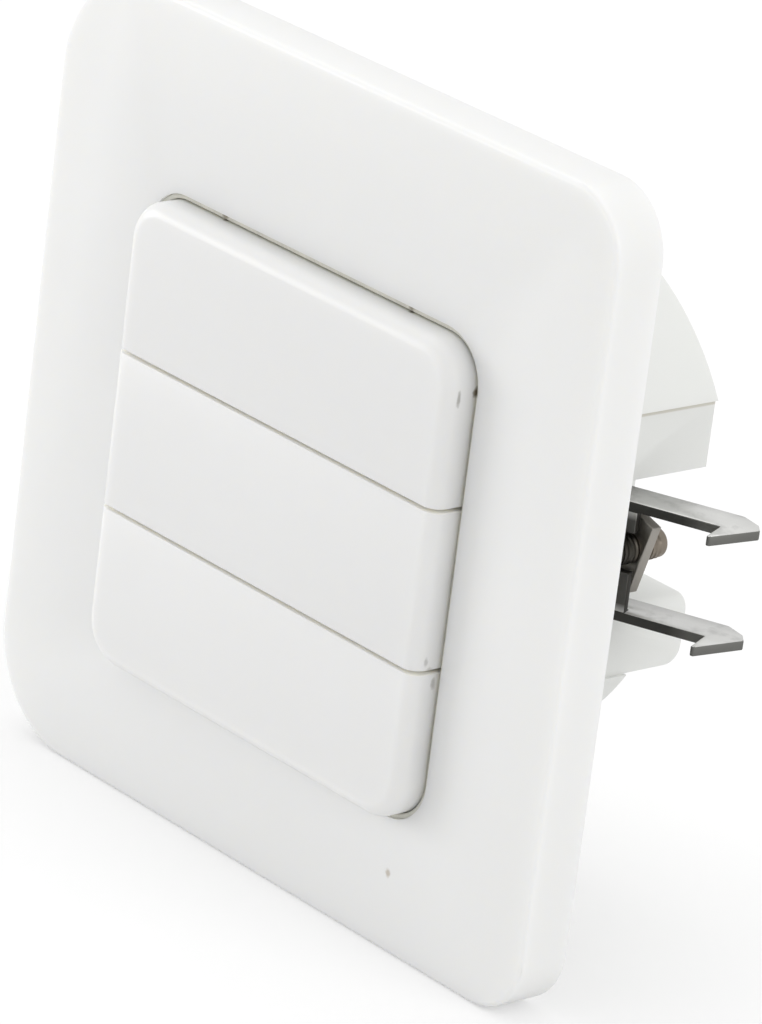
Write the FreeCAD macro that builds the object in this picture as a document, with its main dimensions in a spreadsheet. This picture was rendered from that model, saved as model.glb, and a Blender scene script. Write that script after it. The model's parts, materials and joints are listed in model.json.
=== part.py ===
"""Flush wall switch with a radio sender: cover frame, three rocking keys and a round
box insert with two spreading claws.

Millimetres. Z is up, the front faces -Y. The wall is the plane y = 0 and the origin
lies on it, where the axis of the round insert meets the wall.
"""
import FreeCAD, Part
import math
import os

import Sketcher

os.makedirs("parts", exist_ok=True)
doc = FreeCAD.newDocument("wall_switch")
sheet = doc.addObject("Spreadsheet::Sheet", "Sizes")

# Sizes: name, value, what it is
SIZES = [
    ("frame_width", 80.0, "outer width and height of the cover frame"),
    ("frame_depth", 5.5, "how far the frame stands off the wall"),
    ("frame_lift", 2.6, "centre of the frame above the insert's axis"),
    ("frame_corner_left", 11.0, "corner radius of the frame at the left"),
    ("frame_corner_right", 6.5, "corner radius of the frame at the right"),
    ("frame_edge", 0.55, "rounding of the front edge of the frame"),
    ("frame_wall", 1.6, "side wall of the hollow frame"),
    ("frame_face", 2.0, "front wall of the hollow frame"),
    ("rib_thick", 1.0, "ribs in the hollow frame"),
    ("rib_gap", 0.3, "ribs before the support ring"),
    ("field_width", 48.6, "opening for the keys, square"),
    ("field_corner", 5.0, "corner radius of the opening"),
    ("key_gap", 0.6, "gap between keys and opening"),
    ("key_slit", 0.4, "slit between two keys"),
    ("key_proud", 3.0, "how far the keys stand in front of the frame"),
    ("key_edge", 0.45, "rounding of the outer front edges of the keys"),
    ("key_inside", 1.0, "corner radius inside a key beside a slit"),
    ("key_face", 1.6, "front wall of a key"),
    ("key_wall", 1.4, "side walls of a key"),
    ("skirt_gap", 1.15, "room under the skirt of a key for its travel"),
    ("pivot_rise", 2.0, "pivot of the keys in front of the carrier plate"),
    ("axle_radius", 0.9, "radius of the moulded axles"),
    ("run_fit", 0.05, "radial play of turning and sliding fits"),
    ("post_half", 1.4, "half width of an axle post"),
    ("post_reach", 2.0, "half height of an axle post"),
    ("lug_gap", 0.3, "side play between axle post and key lug"),
    ("lug_wall", 1.5, "thickness of a key lug"),
    ("lug_radius", 1.7, "round end of a key lug"),
    ("guide_gap", 0.75, "room between a plunger guide and a screw boss"),
    ("foot_radius", 1.5, "radius of a foot"),
    ("carrier_thick", 1.6, "plate of the key carrier"),
    ("carrier_margin", 0.8, "carrier plate inside the frame opening"),
    ("ring_thick", 1.0, "sheet of the support ring"),
    ("ring_inset", 3.4, "edge of the support ring inside the frame's walls"),
    ("ring_corner", 6.0, "corner radius of the support ring"),
    ("box_pitch", 60.0, "distance of the box screws"),
    ("slot_width", 3.8, "width of the box screw slots"),
    ("slot_length", 6.0, "length of the box screw slots"),
    ("slot_flat", 0.002, "half the straight end of those slots"),
    ("clip_inset", 8.0, "frame pins inside the edge of the support ring"),
    ("clip_radius", 1.55, "radius of the frame pins"),
    ("plunger_radius", 2.2, "head of a plunger"),
    ("plunger_head", 2.0, "length of a plunger head"),
    ("stem_radius", 1.0, "stem of a plunger"),
    ("contact_gap", 0.05, "gap where two pieces only touch"),
    ("guide_wall", 1.0, "wall of a plunger guide"),
    ("guide_depth", 5.0, "plunger guide behind the carrier plate"),
    ("guide_floor", 1.0, "floor of a plunger guide"),
    ("sleeve_wall", 0.4, "wall of a return sleeve"),
    ("sleeve_play", 0.15, "return sleeve around the stem"),
    ("sleeve_inset", 0.5, "foot of a return sleeve inside the plunger head"),
    ("press_travel", 0.49, "travel of a plunger each way"),
    ("sink", 0.3, "how far two features of one piece reach into each other"),
    ("body_radius", 25.75, "round insert"),
    ("body_wall", 1.6, "walls of the insert"),
    ("flat_cut", 4.15, "flat sides of the insert inside its round"),
    ("flat_reach", 13.4, "half height of the flat sides"),
    ("step_height", 7.0, "shallow lower part of the insert before its rear face"),
    ("heel_radius", 1.8, "rounding of the lower rear edge"),
    ("shelf_radius", 1.4, "rounding of the outer edges below the claw notches"),
    ("notch_front", 9.5, "front end of a claw notch"),
    ("notch_deep", 9.1, "floor of a claw notch inside the flat side"),
    ("notch_reach", 6.6, "half height of a claw notch"),
    ("cheek_out", 2.0, "cheeks of the notch beyond the flat side"),
    ("claw_pivot_depth", 14.6, "claw pivot behind the wall face"),
    ("claw_angle", 24.2, "sweep of the claw arms, in degrees"),
    ("claw_sheet", 1.0, "sheet of the claws"),
    ("claw_room", 0.6, "room between a claw and the walls of its notch"),
    ("claw_width", 4.1, "width of a claw arm"),
    ("claw_near", 0.5, "front edge of a claw arm before its pivot"),
    ("claw_length", 15.6, "claw pivot to the outer end"),
    ("claw_web", 3.9, "claw pivot to the end of the web"),
    ("barb_reach", 3.85, "barb in front of the claw pivot"),
    ("barb_start", 12.2, "claw pivot to the inner side of the barb"),
    ("barb_tip", 0.4, "width of the tip of a barb"),
    ("claw_nose", 1.3, "slope at the outer end of a claw"),
    ("claw_slot_play", 0.5, "play of a claw screw in the slot of the claw"),
    ("claw_slot_start", 0.4, "slot of the claw begins behind its pivot"),
    ("claw_eye", 2.6, "round end of a claw arm"),
    ("claw_web_start", 2.34, "web begins before the claw pivot"),
    ("stub_radius", 1.3, "stubs that carry the claws"),
    ("claw_screw_out", 2.2, "claw screws beyond the flat sides"),
    ("claw_screw_lift", 0.9, "claw screws above the axis"),
    ("claw_screw_radius", 1.45, "thread of a claw screw"),
    ("claw_screw_beyond", 2.75, "end of a claw screw behind its nut strip"),
    ("claw_head_radius", 2.6, "head of a claw screw"),
    ("claw_head_height", 1.3, "height of that head"),
    ("claw_head_edge", 0.43, "rounding of that head"),
    ("claw_screw_tip", 0.4, "rounding at the end of a claw screw"),
    ("screw_play", 0.2, "radial play of a screw in a plain hole"),
    ("nut_behind", 2.15, "front of a nut strip behind the claw pivot"),
    ("nut_thick", 1.1, "thickness of a nut strip"),
    ("nut_width", 3.9, "width of a nut strip"),
    ("nut_above", 3.55, "nut strip above its hole"),
    ("nut_below", 4.0, "nut strip below its hole"),
    ("nut_lean", 16.0, "lean of a nut strip, in degrees"),
    ("claw_head_play", 0.4, "play of that head in the carrier plate"),
    ("drive_half", 0.4, "half width of its screwdriver slot"),
    ("drive_depth", 0.65, "depth of that slot"),
    ("boss_gap", 0.6, "room between a screw boss and the ring's opening"),
    ("boss_drop", 4.5, "carrier screws below the top of the ring's opening"),
    ("boss_radius", 2.2, "screw bosses in the insert"),
    ("boss_screw", 1.1, "thread of a carrier screw"),
    ("boss_head", 2.0, "head of a carrier screw"),
    ("boss_head_height", 1.2, "height of that head"),
    ("boss_screw_length", 7.0, "length of a carrier screw"),
    ("board_front", 6.0, "front of the circuit board behind the wall face"),
    ("board_thick", 1.6, "circuit board"),
    ("board_play", 0.35, "play of the board in the insert"),
    ("dome_radius", 2.4, "contact domes"),
    ("dome_height", 0.4, "height of a contact dome"),
    ("room_half", 9.0, "half width of the battery room"),
    ("room_low", 12.0, "battery room below the axis"),
    ("room_high", 16.5, "battery room above the axis"),
    ("cell_radius", 7.15, "battery cell"),
    ("cell_length", 24.2, "length of the cell without its pole"),
    ("cell_front_gap", 0.75, "cell behind the coding chip"),
    ("cell_back_gap", 1.2, "cell before the rear wall"),
    ("cell_low", 10.6, "lower end of the cell below the axis"),
    ("pole_radius", 2.6, "pole of the cell"),
    ("pole_height", 0.8, "height of that pole"),
    ("strip_width", 6.0, "battery contact strips"),
    ("strip_thick", 0.4, "thickness of a contact strip"),
    ("strip_past", 2.3, "end of a contact strip behind the axis of the cell"),
    ("strip_foot", 2.4, "foot of a contact strip on the board"),
    ("chip_width", 10.3, "coding chip"),
    ("chip_height", 7.5, "height of the chip"),
    ("chip_thick", 2.2, "thickness of the chip"),
    ("chip_lift", 8.0, "middle of the chip above the axis"),
    ("can_radius", 2.5, "resonator can"),
    ("can_height", 2.0, "height of that can"),
    ("can_drop", 5.0, "resonator can below the axis"),
    ("cap_radius", 2.0, "capacitors"),
    ("cap_height", 4.5, "height of a capacitor"),
    ("cap_offset", 5.0, "capacitors from the middle"),
    ("cap_lift", 8.0, "capacitors above the axis"),
    ("aerial_half", 16.0, "half length of the wire aerial"),
    ("aerial_drop", 8.0, "aerial below the axis"),
    ("aerial_rise", 3.2, "aerial in front of the board"),
    ("aerial_wire", 0.4, "radius of the aerial wire"),
]


class Size:
    """A number that also knows how an expression writes it."""

    def __init__(self, text, value):
        self.text = text
        self.value = value

    def __add__(self, other):
        other = size(other)
        return Size(f"({self.text} + {other.text})", self.value + other.value)

    def __sub__(self, other):
        other = size(other)
        return Size(f"({self.text} - {other.text})", self.value - other.value)

    def __mul__(self, other):
        other = size(other)
        return Size(f"({self.text} * {other.text})", self.value * other.value)

    def __truediv__(self, other):
        other = size(other)
        return Size(f"({self.text} / {other.text})", self.value / other.value)

    def __rsub__(self, other):
        return size(other) - self

    def __neg__(self):
        return Size(f"(-1 * {self.text})", -self.value)

    __radd__ = __add__
    __rmul__ = __mul__


def size(number):
    """Any number as a Size."""
    return number if isinstance(number, Size) else Size(f"({float(number)})", float(number))


class Table:
    """The named sizes, as attributes."""


S = Table()
for row, (name, value, meaning) in enumerate(SIZES, start=1):
    sheet.set(f"A{row}", name)
    sheet.set(f"B{row}", str(value))
    sheet.set(f"C{row}", meaning)
    sheet.setAlias(f"B{row}", name)
    setattr(S, name, Size(f"Sizes.{name}", value))
doc.recompute()


# Helpers

def bind(thing, prop, number):
    """Ties a property of a feature to the spreadsheet."""
    thing.setExpression(prop, size(number).text)


def new_body(label):
    body = doc.addObject("PartDesign::Body", label)
    body.Label = label
    body.AllowCompound = True
    return body


def new_sketch(body, plane, offset):
    """A sketch on one of the body's own planes, moved along that plane's normal."""
    sketch = body.newObject("Sketcher::SketchObject", body.Label + "_sketch")
    support = [f for f in body.Origin.OriginFeatures if f.Role == plane][0]
    sketch.AttachmentSupport = (support, [""])
    sketch.MapMode = "FlatFace"
    bind(sketch, "AttachmentOffset.Base.z", offset)
    return sketch


def held(sketch, kind, *where, number):
    """Adds a driving dimension."""
    index = sketch.addConstraint(Sketcher.Constraint(kind, *where, number.value))
    sketch.renameConstraint(index, f"dim{index}")
    bind(sketch, f"Constraints.dim{index}", number)


def fix_point(sketch, line, end, x, y):
    """Places a point of the sketch by its two distances from the origin."""
    for kind, number, axis in (("DistanceX", size(x), -2), ("DistanceY", size(y), -1)):
        if number.value:
            held(sketch, kind, -1, 1, line, end, number=number)
        else:
            sketch.addConstraint(Sketcher.Constraint("PointOnObject", line, end, axis))


def circle(sketch, x, y, radius):
    x, y, radius = size(x), size(y), size(radius)
    centre = FreeCAD.Vector(x.value, y.value, 0)
    ring = sketch.addGeometry(Part.Circle(centre, FreeCAD.Vector(0, 0, 1), radius.value), False)
    held(sketch, "Radius", ring, number=radius)
    fix_point(sketch, ring, 3, x, y)


def polygon(sketch, corners):
    corners = [(size(x), size(y)) for x, y in corners]
    points = [FreeCAD.Vector(x.value, y.value, 0) for x, y in corners]
    first = sketch.GeometryCount
    count = len(points)
    for i in range(count):
        sketch.addGeometry(Part.LineSegment(points[i], points[(i + 1) % count]), False)
    for i in range(count):
        meeting = Sketcher.Constraint("Coincident", first + i, 2, first + (i + 1) % count, 1)
        sketch.addConstraint(meeting)
    for i, (x, y) in enumerate(corners):
        fix_point(sketch, first + i, 1, x, y)


def rectangle(sketch, left, right, low, high):
    polygon(sketch, [(left, low), (right, low), (right, high), (left, high)])


def rounded(sketch, left, right, low, high, *radii):
    """A rectangle with round corners: one radius, a lower and an upper one, or one for each
    corner, counted from the lower right one."""
    if len(radii) == 1:
        radii = radii * 4
    elif len(radii) == 2:
        radii = (radii[0], radii[1], radii[1], radii[0])
    left, right, low, high = size(left), size(right), size(low), size(high)
    radii = [size(radius) for radius in radii]
    x0, x1, y0, y1 = left.value, right.value, low.value, high.value
    a, b, c, d = [radius.value for radius in radii]
    first = sketch.GeometryCount
    ends = [((x0 + d, y0), (x1 - a, y0)), ((x1, y0 + a), (x1, y1 - b)),
            ((x1 - b, y1), (x0 + c, y1)), ((x0, y1 - c), (x0, y0 + d))]
    for start, end in ends:
        sketch.addGeometry(Part.LineSegment(FreeCAD.Vector(*start, 0), FreeCAD.Vector(*end, 0)), False)
    centres = [(x1 - a, y0 + a, a), (x1 - b, y1 - b, b), (x0 + c, y1 - c, c), (x0 + d, y0 + d, d)]
    for turn, (x, y, radius) in enumerate(centres):
        whole = Part.Circle(FreeCAD.Vector(x, y, 0), FreeCAD.Vector(0, 0, 1), radius)
        start = (turn - 1) * math.pi / 2
        sketch.addGeometry(Part.ArcOfCircle(whole, start, start + math.pi / 2), False)
    for i in range(4):
        line, arc, following = first + i, first + 4 + i, first + (i + 1) % 4
        sketch.addConstraint(Sketcher.Constraint("Tangent", line, 2, arc, 1))
        sketch.addConstraint(Sketcher.Constraint("Tangent", arc, 2, following, 1))
    for line, kind in enumerate(("Horizontal", "Vertical", "Horizontal", "Vertical")):
        sketch.addConstraint(Sketcher.Constraint(kind, first + line))
    for i, radius in enumerate(radii):
        held(sketch, "Radius", first + 4 + i, number=radius)
    held(sketch, "DistanceY", -1, 1, first, 1, number=low)
    held(sketch, "DistanceX", -1, 1, first + 1, 1, number=right)
    held(sketch, "DistanceY", -1, 1, first + 2, 1, number=high)
    held(sketch, "DistanceX", -1, 1, first + 3, 1, number=left)


def clipped_disc(sketch, radius, half):
    """A disc cut off straight at both sides."""
    radius, half = size(radius), size(half)
    reach = math.acos(half.value / radius.value)
    whole = Part.Circle(FreeCAD.Vector(0, 0, 0), FreeCAD.Vector(0, 0, 1), radius.value)
    top = sketch.addGeometry(Part.ArcOfCircle(whole, reach, math.pi - reach), False)
    bottom = sketch.addGeometry(Part.ArcOfCircle(whole, math.pi + reach, -reach), False)
    x, y = half.value, radius.value * math.sin(reach)
    left = sketch.addGeometry(Part.LineSegment(FreeCAD.Vector(-x, y, 0), FreeCAD.Vector(-x, -y, 0)), False)
    right = sketch.addGeometry(Part.LineSegment(FreeCAD.Vector(x, -y, 0), FreeCAD.Vector(x, y, 0)), False)
    for one, other in (((top, 2), (left, 1)), ((left, 2), (bottom, 1)),
                       ((bottom, 2), (right, 1)), ((right, 2), (top, 1))):
        sketch.addConstraint(Sketcher.Constraint("Coincident", *one, *other))
    for arc in (top, bottom):
        sketch.addConstraint(Sketcher.Constraint("Coincident", arc, 3, -1, 1))
    sketch.addConstraint(Sketcher.Constraint("Vertical", left))
    sketch.addConstraint(Sketcher.Constraint("Vertical", right))
    sketch.addConstraint(Sketcher.Constraint("Equal", top, bottom))
    held(sketch, "Radius", top, number=radius)
    held(sketch, "DistanceX", -1, 1, right, 1, number=half)
    held(sketch, "DistanceX", -1, 1, left, 1, number=-half)


def feature(body, kind, sketch, length):
    made = body.newObject("PartDesign::" + kind, body.Label + "_" + kind.lower())
    made.Profile = (sketch, [""])
    bind(made, "Length", length)
    sketch.Visibility = False
    return made


def front_pad(body, front, back, draw):
    """Material from depth front to depth back, drawn as seen from the front."""
    sketch = new_sketch(body, "XZ_Plane", -size(back))
    draw(sketch)
    return feature(body, "Pad", sketch, size(back) - front)


def front_cut(body, front, back, draw):
    """A cut from depth front to depth back, drawn as seen from the front."""
    sketch = new_sketch(body, "XZ_Plane", -size(front))
    draw(sketch)
    return feature(body, "Pocket", sketch, size(back) - front)


def top_pad(body, low, high, draw):
    """Material from height low to height high, drawn as seen from above."""
    sketch = new_sketch(body, "XY_Plane", low)
    draw(sketch)
    return feature(body, "Pad", sketch, size(high) - low)


def top_cut(body, low, high, draw):
    """A cut from height low to height high, drawn as seen from above."""
    sketch = new_sketch(body, "XY_Plane", high)
    draw(sketch)
    return feature(body, "Pocket", sketch, size(high) - low)


def round_edges(body, radius, wanted):
    """Rounds the edges of the body so far that the test picks."""
    doc.recompute()
    tip = body.Tip
    names = [f"Edge{i}" for i, edge in enumerate(tip.Shape.Edges, start=1) if wanted(edge)]
    made = body.newObject("PartDesign::Fillet", body.Label + "_fillet")
    made.Base = (tip, names)
    bind(made, "Radius", radius)
    return made


def at_depth(edge, depth):
    """True for an edge that lies in the plane y = depth."""
    box = edge.BoundBox
    return abs(box.YMin - depth) < NEAR and abs(box.YMax - depth) < NEAR


# Shared places

NEAR = 1e-4
FRONT = -S.frame_depth
KEY_FRONT = FRONT - S.key_proud
CARRIER_FRONT = -(S.carrier_thick + S.ring_thick)
CARRIER_BACK = -S.ring_thick
PIVOT = CARRIER_FRONT - S.pivot_rise
KEY_ROOF = KEY_FRONT + S.key_face
SKIRT = CARRIER_FRONT - S.skirt_gap
SIDE_FLAT = S.body_radius - S.flat_cut
RING_HALF = S.frame_width / 2 - S.frame_wall - S.ring_inset
RING_GAP_HALF = SIDE_FLAT - S.body_wall
CLIP_OFFSET = RING_HALF - S.clip_inset
BOSS_OFFSET = RING_GAP_HALF - S.boss_gap - S.boss_radius
BOSS_LIFT = RING_GAP_HALF - S.boss_drop
KEYS_HALF = S.field_width / 2 - S.key_gap
KEY_HEIGHT = (KEYS_HALF * 2 - S.key_slit * 2) / 3
KEY_PITCH = KEY_HEIGHT + S.key_slit
ROWS = {"top": 1, "middle": 0, "bottom": -1}
SIDES = {"right": 1, "left": -1}
GUIDE_END = CARRIER_BACK + S.guide_depth
BORE = S.plunger_radius + S.run_fit
FOOT_OFFSET = BOSS_OFFSET - S.boss_radius - S.guide_gap - BORE - S.guide_wall
PLUNGER_FRONT = PIVOT + S.foot_radius + S.contact_gap
BOARD_BACK = S.board_front + S.board_thick
DOME_FRONT = S.board_front - S.dome_height
CELL_DEPTH = BOARD_BACK + S.chip_thick + S.cell_front_gap + S.cell_radius
BODY_DEPTH = CELL_DEPTH + S.cell_radius + S.cell_back_gap + S.body_wall
CLAW_HALF = S.notch_reach - S.claw_room
CLAW_SCREW_OFFSET = SIDE_FLAT + S.claw_screw_out
NUT_FRONT = S.claw_pivot_depth + S.nut_behind
CLAW_SCREW_END = NUT_FRONT + S.nut_thick + S.claw_screw_beyond
STRIP_REACH = CELL_DEPTH + S.strip_past


# Cover frame: a hollow shell with ribs and four pins that snap into the support ring

cover = new_body("cover_frame")
half = S.frame_width / 2
inner = half - S.frame_wall
field = S.field_width / 2


def frame_outline(sketch):
    near, far = S.frame_corner_right, S.frame_corner_left
    rounded(sketch, -half, half, S.frame_lift - half, S.frame_lift + half, near, near, far, far)


def frame_hollow(sketch):
    near, far = S.frame_corner_right - S.frame_wall, S.frame_corner_left - S.frame_wall
    rounded(sketch, -inner, inner, S.frame_lift - inner, S.frame_lift + inner, near, near, far, far)


def frame_field(sketch):
    rounded(sketch, -field, field, -field, field, S.field_corner)


def frame_ribs(sketch):
    """Ribs that run from the opening to the outer wall."""
    thick = S.rib_thick / 2
    for place in (-1, 1):
        along = S.field_width / 4 * place
        start = S.frame_lift + half - S.frame_wall * 0.5
        rectangle(sketch, along - thick, along + thick, field + S.frame_wall, start)
        end = S.frame_lift - half + S.frame_wall * 0.5
        rectangle(sketch, along - thick, along + thick, end, -field - S.frame_wall)
        reach = half - S.frame_wall * 0.5
        for side in (-1, 1):
            rectangle(sketch, reach * side, (field + S.frame_wall) * side, along - thick, along + thick)


def frame_pins(sketch):
    for side in (-1, 1):
        for level in (-1, 1):
            circle(sketch, CLIP_OFFSET * side, CLIP_OFFSET * level, S.clip_radius)


front_pad(cover, FRONT, 0, frame_outline)
round_edges(cover, S.frame_edge, lambda edge: at_depth(edge, FRONT.value))
front_cut(cover, FRONT + S.frame_face, 0, frame_hollow)
front_cut(cover, FRONT, 0, frame_field)
front_pad(cover, FRONT + S.frame_face * 0.5, -S.ring_thick - S.rib_gap, frame_ribs)
front_pad(cover, FRONT + S.frame_face * 0.5, -S.contact_gap, frame_pins)


# Keys: shells with two lugs on the axle and two round feet

def make_key(label, level):
    key = new_body(label)
    middle = KEY_PITCH * level
    low, high = middle - KEY_HEIGHT / 2, middle + KEY_HEIGHT / 2
    corner = S.field_corner - S.key_gap

    def whole_field(sketch):
        rounded(sketch, -KEYS_HALF, KEYS_HALF, -KEYS_HALF, KEYS_HALF, corner)

    def other_keys(sketch):
        beyond = KEYS_HALF + S.key_slit
        if level != 1:
            rectangle(sketch, -beyond, beyond, high, beyond)
        if level != -1:
            rectangle(sketch, -beyond, beyond, -beyond, low)

    def hollow(sketch):
        wide = KEYS_HALF - S.key_wall
        inside_low = corner - S.key_wall if level == -1 else S.key_inside
        inside_high = corner - S.key_wall if level == 1 else S.key_inside
        rounded(sketch, -wide, wide, low + S.key_wall, high - S.key_wall, inside_low, inside_high)

    front_pad(key, KEY_FRONT, SKIRT, whole_field)
    round_edges(key, S.key_edge, lambda edge: at_depth(edge, KEY_FRONT.value))
    front_cut(key, KEY_FRONT, SKIRT, other_keys)
    front_cut(key, KEY_ROOF, SKIRT, hollow)
    for side in (-1, 1):
        near = middle + (S.post_reach + S.lug_gap) * side
        far = near + S.lug_wall * side
        bottom, top = (near, far) if side == 1 else (far, near)

        def lug(sketch):
            rectangle(sketch, -S.lug_radius, S.lug_radius, KEY_ROOF - S.key_face * 0.5, PIVOT)

        def lug_end(sketch):
            circle(sketch, 0, PIVOT, S.lug_radius)

        def eye(sketch):
            circle(sketch, 0, PIVOT, S.axle_radius + S.run_fit)

        top_pad(key, bottom, top, lug)
        top_pad(key, bottom, top, lug_end)
        top_cut(key, bottom, top, eye)

    def feet(sketch):
        for side in (-1, 1):
            circle(sketch, FOOT_OFFSET * side, middle, S.foot_radius)

    front_pad(key, KEY_ROOF - S.key_face * 0.5, PIVOT, feet)
    for side in (-1, 1):
        tip = key.newObject("PartDesign::AdditiveSphere", label + "_foot")
        bind(tip, "Radius", S.foot_radius)
        bind(tip, "Placement.Base.x", FOOT_OFFSET * side)
        bind(tip, "Placement.Base.y", PIVOT)
        bind(tip, "Placement.Base.z", middle)
    return key


for place, level in ROWS.items():
    make_key("key_" + place, level)


# Key carrier: plate with axle posts, axles and six plunger guides

carrier = new_body("key_carrier")
plate_half = field - S.carrier_margin


def carrier_plate(sketch):
    rounded(sketch, -plate_half, plate_half, -plate_half, plate_half, S.field_corner - S.carrier_margin)


def axle_posts(sketch):
    for level in ROWS.values():
        middle = KEY_PITCH * level
        rectangle(sketch, -S.post_half, S.post_half, middle - S.post_reach, middle + S.post_reach)


def guide_tubes(sketch):
    for level in ROWS.values():
        for side in (-1, 1):
            circle(sketch, FOOT_OFFSET * side, KEY_PITCH * level, BORE + S.guide_wall)


def guide_bores(sketch):
    for level in ROWS.values():
        for side in (-1, 1):
            circle(sketch, FOOT_OFFSET * side, KEY_PITCH * level, BORE)


def stem_holes(sketch):
    for level in ROWS.values():
        for side in (-1, 1):
            circle(sketch, FOOT_OFFSET * side, KEY_PITCH * level, S.stem_radius + S.run_fit)


def screw_places(sketch, radius):
    for side in (-1, 1):
        for level in (-1, 1):
            circle(sketch, BOSS_OFFSET * side, BOSS_LIFT * level, radius)


def claw_screw_places(sketch, radius):
    for side in (-1, 1):
        circle(sketch, CLAW_SCREW_OFFSET * side, S.claw_screw_lift, radius)


def hold_down_posts(sketch):
    for side in (-1, 1):
        circle(sketch, BOSS_OFFSET * side, 0, S.foot_radius)


front_pad(carrier, CARRIER_FRONT, CARRIER_BACK, carrier_plate)
front_pad(carrier, PIVOT - S.axle_radius - S.sink, CARRIER_FRONT + S.sink, axle_posts)
axle_reach = S.post_reach + S.lug_gap + S.lug_wall + S.lug_gap
for level in ROWS.values():
    middle = KEY_PITCH * level
    top_pad(carrier, middle - axle_reach, middle + axle_reach,
            lambda sketch: circle(sketch, 0, PIVOT, S.axle_radius))
front_pad(carrier, CARRIER_BACK - S.sink, GUIDE_END, guide_tubes)
front_cut(carrier, CARRIER_FRONT, GUIDE_END - S.guide_floor, guide_bores)
front_cut(carrier, GUIDE_END - S.guide_floor, GUIDE_END, stem_holes)
front_cut(carrier, CARRIER_FRONT, CARRIER_BACK,
          lambda sketch: screw_places(sketch, S.boss_screw + S.screw_play))
front_cut(carrier, CARRIER_FRONT, CARRIER_BACK,
          lambda sketch: claw_screw_places(sketch, S.claw_head_radius + S.claw_head_play))
front_pad(carrier, CARRIER_BACK - S.sink, S.board_front - S.contact_gap, hold_down_posts)


# Support ring of steel sheet, with two pairs of slots for the box screws

ring = new_body("support_ring")


def ring_outline(sketch):
    rounded(sketch, -RING_HALF, RING_HALF, -RING_HALF, RING_HALF, S.ring_corner)


def ring_gap(sketch):
    half = RING_GAP_HALF
    rounded(sketch, -half, half, -half, half, S.field_corner)


def ring_slots(sketch):
    end = S.slot_width / 2 - S.slot_flat
    for side in (-1, 1):
        middle = S.box_pitch / 2 * side
        near, far = middle - S.slot_length / 2, middle + S.slot_length / 2
        rounded(sketch, near, far, -S.slot_width / 2, S.slot_width / 2, end)
        rounded(sketch, -S.slot_width / 2, S.slot_width / 2, near, far, end)


front_pad(ring, CARRIER_BACK, 0, ring_outline)
front_cut(ring, CARRIER_BACK, 0, ring_gap)
front_cut(ring, CARRIER_BACK, 0, ring_slots)
front_cut(ring, CARRIER_BACK, 0,
          lambda sketch: claw_screw_places(sketch, S.claw_screw_radius + S.screw_play))


def ring_pin_holes(sketch):
    for side in (-1, 1):
        for level in (-1, 1):
            circle(sketch, CLIP_OFFSET * side, CLIP_OFFSET * level, S.clip_radius + S.run_fit)


front_cut(ring, CARRIER_BACK, 0, ring_pin_holes)


# Rear housing: round, with flat sides, claw notches and a shallow lower part

rear = new_body("rear_housing")
far_out = S.body_radius + S.body_wall


def housing_round(sketch):
    circle(sketch, 0, 0, S.body_radius)


def housing_flats(sketch):
    for side in (-1, 1):
        rectangle(sketch, far_out * side, SIDE_FLAT * side, -S.flat_reach, S.flat_reach)


def housing_step(sketch):
    rectangle(sketch, -far_out, far_out, -far_out, -S.flat_reach)


def housing_notches(sketch):
    for side in (-1, 1):
        rectangle(sketch, far_out * side, (SIDE_FLAT - S.notch_deep) * side,
                  -S.notch_reach, S.notch_reach)


def battery_room(sketch):
    rounded(sketch, -S.room_half, S.room_half, -S.room_low, S.room_high, S.body_wall)


def board_room(sketch):
    clipped_disc(sketch, S.body_radius - S.body_wall, SIDE_FLAT - S.body_wall)


front_pad(rear, 0, BODY_DEPTH, housing_round)
front_cut(rear, 0, BODY_DEPTH, housing_flats)
front_cut(rear, BODY_DEPTH - S.step_height, BODY_DEPTH, housing_step)
front_cut(rear, S.notch_front, BODY_DEPTH, housing_notches)


def heel(edge):
    box = edge.BoundBox
    low = abs(box.ZMin + S.flat_reach.value) < NEAR and abs(box.ZMax + S.flat_reach.value) < NEAR
    return at_depth(edge, BODY_DEPTH.value) and low


def shelf(edge):
    box = edge.BoundBox
    low = abs(box.ZMin + S.notch_reach.value) < NEAR and abs(box.ZMax + S.notch_reach.value) < NEAR
    middle = abs(edge.CenterOfMass.x)
    return low and box.XMax - box.XMin < NEAR and abs(middle - SIDE_FLAT.value) < NEAR


round_edges(rear, S.shelf_radius, shelf)
round_edges(rear, S.heel_radius, heel)
front_cut(rear, 0, BOARD_BACK, board_room)
front_cut(rear, BOARD_BACK, BODY_DEPTH - S.body_wall, battery_room)
for side in (-1, 1):
    for level in (-1, 1):
        near = S.notch_reach * level
        far = near + S.body_wall * level
        low, high = (near, far) if level == 1 else (far, near)
        cheek_root = SIDE_FLAT - S.body_wall * 0.5

        def cheek(sketch):
            rectangle(sketch, (SIDE_FLAT + S.cheek_out) * side, cheek_root * side,
                      0, S.claw_pivot_depth)

        def cheek_end(sketch):
            circle(sketch, SIDE_FLAT * side, S.claw_pivot_depth, S.cheek_out)

        def stub(sketch):
            circle(sketch, SIDE_FLAT * side, S.claw_pivot_depth, S.stub_radius)

        top_pad(rear, low, high, cheek)
        top_pad(rear, low, high, cheek_end)
        stub_end = (CLAW_HALF - S.claw_sheet + S.run_fit) * level
        low, high = (stub_end, near + S.sink) if level == 1 else (near - S.sink, stub_end)
        top_pad(rear, low, high, stub)
front_pad(rear, CARRIER_BACK + S.contact_gap, BOARD_BACK + S.sink,
          lambda sketch: screw_places(sketch, S.boss_radius))
front_cut(rear, CARRIER_BACK + S.contact_gap, CARRIER_FRONT + S.boss_screw_length + S.boss_screw,
          lambda sketch: screw_places(sketch, S.boss_screw + S.run_fit))


# Claws: steel channels that turn on the stubs of the housing

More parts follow.
